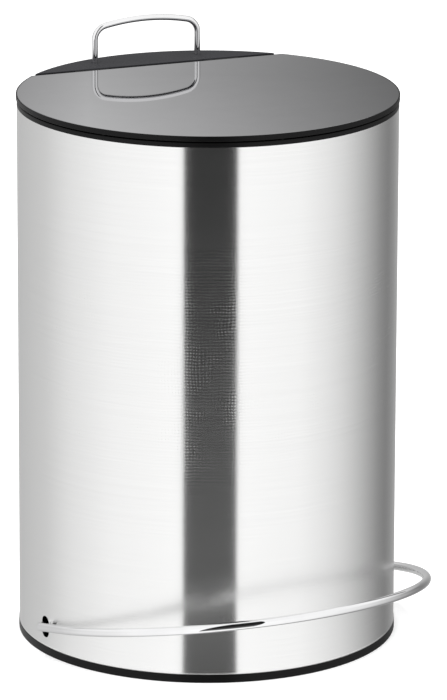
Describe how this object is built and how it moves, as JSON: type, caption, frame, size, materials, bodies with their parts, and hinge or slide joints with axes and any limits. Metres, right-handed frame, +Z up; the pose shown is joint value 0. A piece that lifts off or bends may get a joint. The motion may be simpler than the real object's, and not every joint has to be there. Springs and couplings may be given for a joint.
{
  "type": "pedal bin",
  "caption": "Round free-standing pedal bin with a hinged lid, wire hoop pedal, carry handle, lift linkage and lift-out inner bucket.",
  "frame": {"origin": "on the body's axis, in the plane of the floor it stands on", "axes": "+Z up along the body, -Y towards the front edge of the lid, +Y towards the hinge, +X to the right seen from the front"},
  "size_m": [0.3136, 0.3334, 0.4572],
  "materials": {
    "brushed_shell": "satin, brushed round the body",
    "chrome_wire": "mirror chrome",
    "polished_lid": "mirror-polished steel",
    "black_plastic": "satin black moulding",
    "matt_cover": "fine matt dark grey",
    "bucket_plastic": "smooth dark moulding",
    "white_nylon": "natural nylon",
    "rubber": "soft black rubber",
    "bare_steel": "drawn steel",
    "zinc_screw": "zinc plated"
  },
  "bodies": {
    "body": {"floor_ring": "black_plastic", "base_plate": "black_plastic", "base_screws": "zinc_screw", "anti_slip_pads": "rubber", "bearing_cap_left": "black_plastic", "bearing_cap_right": "black_plastic", "bearing_screws": "zinc_screw", "axle_bush_left": "white_nylon", "axle_bush_right": "white_nylon", "rod_guide_lower": "black_plastic", "rod_buffer": "rubber", "guide_screws": "zinc_screw", "outer_shell": "brushed_shell", "shell_rivets": "bare_steel", "top_ring": "black_plastic", "hinge_pin_left": "bare_steel", "hinge_pin_right": "bare_steel", "rod_guide_upper": "black_plastic", "rear_cover": "matt_cover", "cover_screws": "zinc_screw", "carry_handle": "chrome_wire", "handle_washers": "zinc_screw", "handle_nuts": "zinc_screw", "inner_bucket": "bucket_plastic", "bucket_bail": "bare_steel", "bail_grip": "matt_cover"},
    "lid": {"lid_tray": "black_plastic", "lid_panel": "polished_lid", "lid_crank": "bare_steel", "crank_pin": "bare_steel", "crank_screws": "zinc_screw", "lid_bumpers": "rubber"},
    "lift_rod": {"push_rod": "bare_steel", "rod_yoke": "white_nylon", "rod_foot": "white_nylon", "foot_pin": "bare_steel"},
    "pedal": {"pedal_hoop": "chrome_wire", "axle_sleeve": "bare_steel", "sleeve_screws": "zinc_screw", "axle_collars": "bare_steel", "lift_lever": "bare_steel"}
  },
  "joints": [
    {"name": "lid_open", "type": "hinge", "parent": "body", "child": "lid", "pos_m": [0, 0.1034, 0.42015], "axis": [-1, 0, 0], "range_deg": [0, 80]},
    {"name": "pedal_press", "type": "hinge", "parent": "body", "child": "pedal", "pos_m": [0, 0, 0.0233], "axis": [0.9863, 0.165, 0], "range_deg": [0, 11.44]},
    {"name": "rod_lift", "type": "slide", "parent": "body", "child": "lift_rod", "axis": [0, 0, 1], "range_m": [0, 0.018]}
  ],
  "couplings": [
    {"joint": "pedal_press", "follows": "lid_open", "ratio": 0.14304},
    {"joint": "rod_lift", "follows": "lid_open", "m_per_rad": 0.01289}
  ]
}
